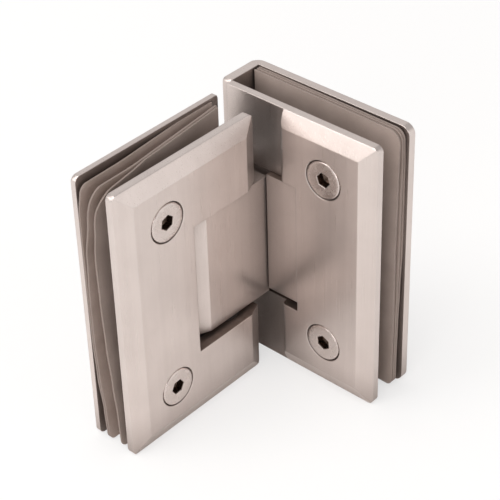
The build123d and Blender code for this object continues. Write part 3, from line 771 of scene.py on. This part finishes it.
def screwTree(name):
    wanted = {"Screw": "NodeSocketObject", "Facing": "NodeSocketVector", "Key Turn": "NodeSocketFloat",
              "Seed": "NodeSocketInt", "Finish": "NodeSocketMaterial"}
    tree, ids, start = placingTree(name, wanted, "Screws")
    info = addNode(tree, "GeometryNodeObjectInfo", None, {"Object": start.outputs["Screw"]})
    spread = addNode(tree, "GeometryNodeInstanceOnPoints", None,
                     {"Points": start.outputs["Places"], "Instance": info.outputs["Geometry"],
                      "Rotation": start.outputs["Facing"]})
    leastTurn, mostTurn = 2, 3                          # the number sockets of a Random Value node
    chance = addNode(tree, "FunctionNodeRandomValue", {"data_type": "FLOAT", leastTurn: 0.0},
                     {mostTurn: start.outputs["Key Turn"], "Seed": start.outputs["Seed"]})
    spin = addNode(tree, "ShaderNodeCombineXYZ", None, {"Z": chance.outputs[1]})
    turned = addNode(tree, "GeometryNodeRotateInstances", None,
                     {"Instances": spread.outputs[0], "Rotation": spin.outputs[0]})
    real = addNode(tree, "GeometryNodeRealizeInstances", None, {0: turned.outputs[0]})
    finish = addNode(tree, "GeometryNodeSetMaterial", None,
                     {"Geometry": real.outputs[0], "Material": start.outputs["Finish"]})
    addNode(tree, "NodeGroupOutput", None, {0: finish.outputs[0]})
    return tree, ids


screwSetter, screwInputs = screwTree("setScrews")


def screwSet(name, nodeNames, facing, settings):
    places = []
    lift = settings["lift"] * mm
    for nodeName in nodeNames:
        low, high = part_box(nodeName)
        middle = (low + high) / 2
        if facing == "front":                       # head towards -Y
            places.append((middle.x, low.y - lift, middle.z))
            length = (high.y - low.y) / mm
            turn = (math.pi / 2, 0, 0)
        else:                                       # head towards +X
            places.append((high.x + lift, middle.y, middle.z))
            length = (high.x - low.x) / mm
            turn = (0, math.pi / 2, 0)
    proto = joinCollection(bpy.data.objects.new(name + "Proto", screwMesh(name + "One", settings, length)))
    holder = placedBy(screwSetter, screwInputs, name, places,
                      {"Screw": proto, "Facing": turn, "Key Turn": settings["keyTurn"],
                       "Seed": settings["seed"], "Finish": screwNickel})
    piece = bakedPiece(holder, name, nodeNames, None)
    bpy.data.objects.remove(proto)
    return piece


screwSet("fixed_clamp_screws", ["fixed_screw_upper", "fixed_screw_lower"], "front", clampScrew)
screwSet("door_clamp_screws", ["door_screw_upper", "door_screw_lower"], "right", clampScrew)
print("clamp screws set")


# Springs behind the pressure plate: round wire coiled by a node tree.

springShape = {
    "wire": 0.65,               # radius of the wire
    "mean": 2.5,                # radius of the coil
    "turns": 3.0,
    "pointsPerTurn": 24,
    "wireSides": 14,
}


def springTree(name, settings):
    wanted = {"Mean Radius": "NodeSocketFloat", "Wire Radius": "NodeSocketFloat", "Turns": "NodeSocketFloat",
              "Length": "NodeSocketFloat", "Finish": "NodeSocketMaterial"}
    tree, ids, start = placingTree(name, wanted, "Springs")
    coil = addNode(tree, "GeometryNodeCurveSpiral", {"Resolution": settings["pointsPerTurn"]},
                   {"Rotations": start.outputs["Turns"], "Start Radius": start.outputs["Mean Radius"],
                    "End Radius": start.outputs["Mean Radius"], "Height": start.outputs["Length"]})
    radiusSocket = 4                                    # a Curve Circle has more than one Radius
    ring = addNode(tree, "GeometryNodeCurvePrimitiveCircle", {"Resolution": settings["wireSides"]},
                   {radiusSocket: start.outputs["Wire Radius"]})
    body = addNode(tree, "GeometryNodeCurveToMesh", {"Fill Caps": True},
                   {0: coil.outputs[0], 1: ring.outputs[0]})
    spread = addNode(tree, "GeometryNodeInstanceOnPoints", {"Rotation": (-math.pi / 2, 0, 0)},
                     {"Points": start.outputs["Places"], "Instance": body.outputs[0]})
    real = addNode(tree, "GeometryNodeRealizeInstances", None, {0: spread.outputs[0]})
    smooth = addNode(tree, "GeometryNodeSetShadeSmooth", None, {0: real.outputs[0]})
    finish = addNode(tree, "GeometryNodeSetMaterial", None,
                     {"Geometry": smooth.outputs[0], "Material": start.outputs["Finish"]})
    addNode(tree, "NodeGroupOutput", None, {0: finish.outputs[0]})
    return tree, ids


def springSet(name, nodeNames, settings):
    coiler, coilerInputs = springTree("coilSprings", settings)
    wire = settings["wire"] * mm
    places = []
    for nodeName in nodeNames:
        low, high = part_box(nodeName)
        places.append(((low.x + high.x) / 2, low.y + wire, (low.z + high.z) / 2))
        length = high.y - low.y - 2 * wire
    holder = placedBy(coiler, coilerInputs, name, places,
                      {"Mean Radius": settings["mean"] * mm, "Wire Radius": wire,
                       "Turns": settings["turns"], "Length": length, "Finish": springSteel})
    return bakedPiece(holder, name, nodeNames, None)


springSet("centring_springs", ["spring_upper", "spring_lower"], springShape)
print("springs coiled")


# Floor, light and camera. Lengths are in metres from here on, unless a note says mm.

floorLook = {
    "size": 6.0,
    "below": 0.02,              # mm under the object, so that the two never share a plane
    "tone": "#F2F1F0",
    "paleTone": "#F6F5F4",
    "cloudScale": 3.0,          # per metre
    "whiteShare": 0.6,          # how much of what the eye and the metal see is plain white paint
    "shadedReach": 0.05,        # from the object, up to where metal sees only the lit floor: painted shade near the object
    "openReach": 0.35,          # from where metal sees the white paint
}


def floorPaint(settings):
    # Painted studio floor: even, matt and almost white.
    mat, tree, place = newMaterial("matt white floor paint")
    cloud = addNode(tree, "ShaderNodeTexNoise", {"Scale": settings["cloudScale"]}, {"Vector": place})
    tone = addNode(tree, "ShaderNodeMix", {"data_type": "RGBA", colourA: linearColour(settings["tone"]),
                                           colourB: linearColour(settings["paleTone"])},
                   {0: cloud.outputs[0]})
    matt = addNode(tree, "ShaderNodeBsdfDiffuse", None, {"Color": tone.outputs[mixedColour]})
    white = addNode(tree, "ShaderNodeEmission", {"Strength": 1.0, "Color": (1.0, 1.0, 1.0, 1.0)})
    path = addNode(tree, "ShaderNodeLightPath")
    away = addNode(tree, "ShaderNodeVectorMath", {"operation": "LENGTH"}, {0: place})
    # painted shade: near the object the white glow fades out of what the metal sees, standing in for a
    # contact shadow
    openFloor = addNode(tree, "ShaderNodeMapRange",
                        {"interpolation_type": "SMOOTHSTEP", "From Min": settings["shadedReach"],
                         "From Max": settings["openReach"]}, {"Value": away.outputs["Value"]})
    mirrored = addNode(tree, "ShaderNodeMath", {"operation": "MAXIMUM"},
                       {0: path.outputs["Is Glossy Ray"], 1: path.outputs["Is Transmission Ray"]})
    inMetal = addNode(tree, "ShaderNodeMath", {"operation": "MULTIPLY"},
                      {0: mirrored.outputs[0], 1: openFloor.outputs[0]})
    seen = addNode(tree, "ShaderNodeMath", {"operation": "MAXIMUM"},
                   {0: path.outputs["Is Camera Ray"], 1: inMetal.outputs[0]})
    share = addNode(tree, "ShaderNodeMath", {"operation": "MULTIPLY", 1: settings["whiteShare"]},
                    {0: seen.outputs[0]})
    both = addNode(tree, "ShaderNodeMixShader", None,
                   {0: share.outputs[0], 1: matt.outputs[0], 2: white.outputs[0]})
    addNode(tree, "ShaderNodeOutputMaterial", None, {"Surface": both.outputs[0]})
    return mat


def paleFloor(settings):
    half = settings["size"] / 2
    corners = [(-half, -half, 0), (half, -half, 0), (half, half, 0), (-half, half, 0)]
    mesh = bpy.data.meshes.new("floor")
    mesh.from_pydata(corners, [], [(0, 1, 2, 3)])
    mesh.materials.append(floorPaint(settings))
    obj = joinCollection(bpy.data.objects.new("floor", mesh))
    obj.location.z = -settings["below"] * mm
    return obj


paleFloor(floorLook)

aim = Vector((0, 0, 0.045))     # half the object's height
lampTone = "#FFFCFA"
lampSettings = {                # power in W
    "overhead": {"place": (-0.15, -0.50, 1.50), "size": 1.2, "power": 13.5, "tone": "#FFFDFB"},
    "leftFront": {"place": (-0.9, -1.3, 0.75), "size": 1.0, "power": 6.0, "tone": lampTone},
    "front": {"place": (0.7, -1.3, 0.5), "size": 0.8, "power": 5.2, "tone": lampTone},
    "right": {"place": (1.5, 0.2, 0.7), "size": 1.0, "power": 2.7, "tone": lampTone},
    "backRight": {"place": (1.1, 0.8, 0.25), "size": 0.8, "power": 1.0, "tone": lampTone},
    "backLeft": {"place": (-0.75, 0.8, 0.85), "size": 0.9, "power": 0.7, "tone": lampTone},
}
for name, lamp in lampSettings.items():
    data = bpy.data.lights.new(name, "AREA")
    data.shape = "SQUARE"
    data.size = lamp["size"]
    data.energy = lamp["power"]
    data.color = linearColour(lamp["tone"])[:3]
    obj = joinCollection(bpy.data.objects.new(name, data))
    obj.location = lamp["place"]
    obj.rotation_euler = (aim - obj.location).to_track_quat("-Z", "Y").to_euler()

roomLight = {"tone": "#FDFBFA", "strength": 0.56}
world = bpy.data.worlds.new("paleRoom")
world.use_nodes = True
scene.world = world
room = world.node_tree.nodes["Background"].inputs
room["Color"].default_value = linearColour(roomLight["tone"])
room["Strength"].default_value = roomLight["strength"]

cameraSettings = {
    "place": (0.26247, -0.27874, 0.33677),
    "azimuth": 42.93,           # degrees round the object
    "elevation": 36.18,
    "roll": -1.81,
    "lens": 122.59,             # mm
    "sensor": 36,               # mm
    "nearest": 0.01,
}


def aimedCamera(settings):
    turn = math.radians(settings["azimuth"])
    lift = math.radians(settings["elevation"])
    roll = math.radians(settings["roll"])
    back = Vector((math.sin(turn) * math.cos(lift), -math.cos(turn) * math.cos(lift), math.sin(lift)))
    level = Vector((math.cos(turn), math.sin(turn), 0))
    upright = back.cross(level)
    right = level * math.cos(roll) + upright * math.sin(roll)
    up = upright * math.cos(roll) - level * math.sin(roll)
    lens = bpy.data.cameras.new("camera")
    lens.lens = settings["lens"]
    lens.sensor_width = settings["sensor"]
    lens.clip_start = settings["nearest"]
    camera = joinCollection(bpy.data.objects.new("camera", lens))
    rows = [(right[k], up[k], back[k], settings["place"][k]) for k in range(3)]
    camera.matrix_world = Matrix((*rows, (0, 0, 0, 1)))
    return camera


scene.camera = aimedCamera(cameraSettings)
scene.view_settings.view_transform = "Standard"
print("floor, lamps and camera set")
